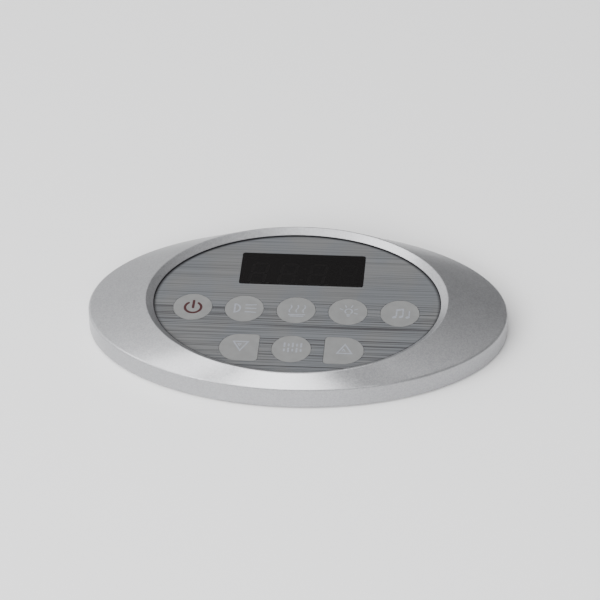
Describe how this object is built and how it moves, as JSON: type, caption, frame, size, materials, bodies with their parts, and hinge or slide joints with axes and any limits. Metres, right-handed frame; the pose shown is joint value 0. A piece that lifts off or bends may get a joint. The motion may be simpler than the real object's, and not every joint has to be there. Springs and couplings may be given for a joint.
{
  "type": "bath control panel",
  "caption": "Oval surface-mounted control panel for a jetted bath, with a silver bezel, backlit push keys behind a printed film and a digital display.",
  "frame": {"origin": "on the deck plane, under the middle of the oval bezel", "axes": "+X along the long axis, to the user's right; +Y away from the user, from the lower keys towards the display; +Z out of the deck, towards the user's finger"},
  "size_m": [0.179, 0.1036, 0.016],
  "materials": {
    "bezel_paint": "silver metallic paint on moulded plastic, satin with fine flake",
    "printed_film": "grey printed film with a horizontal brushed pattern, satin",
    "smoked_window": "smoked clear plastic, polished",
    "frame_plastic": "moulded dark grey plastic, satin",
    "display_black": "moulded black plastic, matt",
    "segment_resin": "milky casting resin",
    "tinned_metal": "tinned steel, satin",
    "board_laminate": "glass laminate with green solder mask, satin",
    "switch_plastic": "moulded black plastic, matt",
    "light_resin": "milky yellow resin",
    "chip_black": "moulded epoxy, matt",
    "can_metal": "drawn aluminium, satin",
    "socket_plastic": "natural nylon, satin",
    "cover_plastic": "moulded dark grey plastic, fine texture",
    "seal_rubber": "soft black rubber, matt",
    "gasket_foam": "closed-cell foam, matt",
    "insert_brass": "turned brass, satin",
    "gland_rubber": "black rubber, satin",
    "screw_steel": "stainless steel, satin",
    "key_print": "milky grey translucent film, satin",
    "power_key_print": "milky grey translucent film, satin",
    "milky_plastic": "milky clear plastic light guide",
    "button_plastic": "moulded black plastic"
  },
  "bodies": {
    "panel": {"trim_bezel": "bezel_paint", "overlay_film": "printed_film", "display_window": "smoked_window", "key_frame": "frame_plastic", "display_housing": "display_black", "display_segments": "segment_resin", "display_pins": "tinned_metal", "circuit_board": "board_laminate", "switch_bodies": "switch_plastic", "switch_top_plates": "tinned_metal", "key_lights": "light_resin", "controller_chip": "chip_black", "driver_chip": "chip_black", "crystal": "tinned_metal", "resistors": "chip_black", "capacitors": "can_metal", "buzzer": "chip_black", "cable_socket": "socket_plastic", "rear_cover": "cover_plastic", "perimeter_seal": "seal_rubber", "deck_gasket": "gasket_foam", "deck_inserts": "insert_brass", "cable_gland": "gland_rubber", "board_screws": "screw_steel", "frame_screws": "screw_steel", "cover_screws": "screw_steel"},
    "power_key": {"power_key_pad": "power_key_print", "power_key_plunger": "milky_plastic", "power_switch_button": "button_plastic"},
    "jets_key": {"jets_key_pad": "key_print", "jets_key_plunger": "milky_plastic", "jets_switch_button": "button_plastic"},
    "bubbles_key": {"bubbles_key_pad": "key_print", "bubbles_key_plunger": "milky_plastic", "bubbles_switch_button": "button_plastic"},
    "light_key": {"light_key_pad": "key_print", "light_key_plunger": "milky_plastic", "light_switch_button": "button_plastic"},
    "music_key": {"music_key_pad": "key_print", "music_key_plunger": "milky_plastic", "music_switch_button": "button_plastic"},
    "down_key": {"down_key_pad": "key_print", "down_key_plunger": "milky_plastic", "down_switch_button": "button_plastic"},
    "memory_key": {"memory_key_pad": "key_print", "memory_key_plunger": "milky_plastic", "memory_switch_button": "button_plastic"},
    "up_key": {"up_key_pad": "key_print", "up_key_plunger": "milky_plastic", "up_switch_button": "button_plastic"}
  },
  "joints": [
    {"name": "power_press", "type": "slide", "parent": "panel", "child": "power_key", "axis": [0, 0, -1], "range_m": [0, 0.0004], "stiffness_N_per_m": 2000},
    {"name": "jets_press", "type": "slide", "parent": "panel", "child": "jets_key", "axis": [0, 0, -1], "range_m": [0, 0.0004], "stiffness_N_per_m": 2000},
    {"name": "bubbles_press", "type": "slide", "parent": "panel", "child": "bubbles_key", "axis": [0, 0, -1], "range_m": [0, 0.0004], "stiffness_N_per_m": 2000},
    {"name": "light_press", "type": "slide", "parent": "panel", "child": "light_key", "axis": [0, 0, -1], "range_m": [0, 0.0004], "stiffness_N_per_m": 2000},
    {"name": "music_press", "type": "slide", "parent": "panel", "child": "music_key", "axis": [0, 0, -1], "range_m": [0, 0.0004], "stiffness_N_per_m": 2000},
    {"name": "down_press", "type": "slide", "parent": "panel", "child": "down_key", "axis": [0, 0, -1], "range_m": [0, 0.0004], "stiffness_N_per_m": 2000},
    {"name": "memory_press", "type": "slide", "parent": "panel", "child": "memory_key", "axis": [0, 0, -1], "range_m": [0, 0.0004], "stiffness_N_per_m": 2000},
    {"name": "up_press", "type": "slide", "parent": "panel", "child": "up_key", "axis": [0, 0, -1], "range_m": [0, 0.0004], "stiffness_N_per_m": 2000}
  ]
}
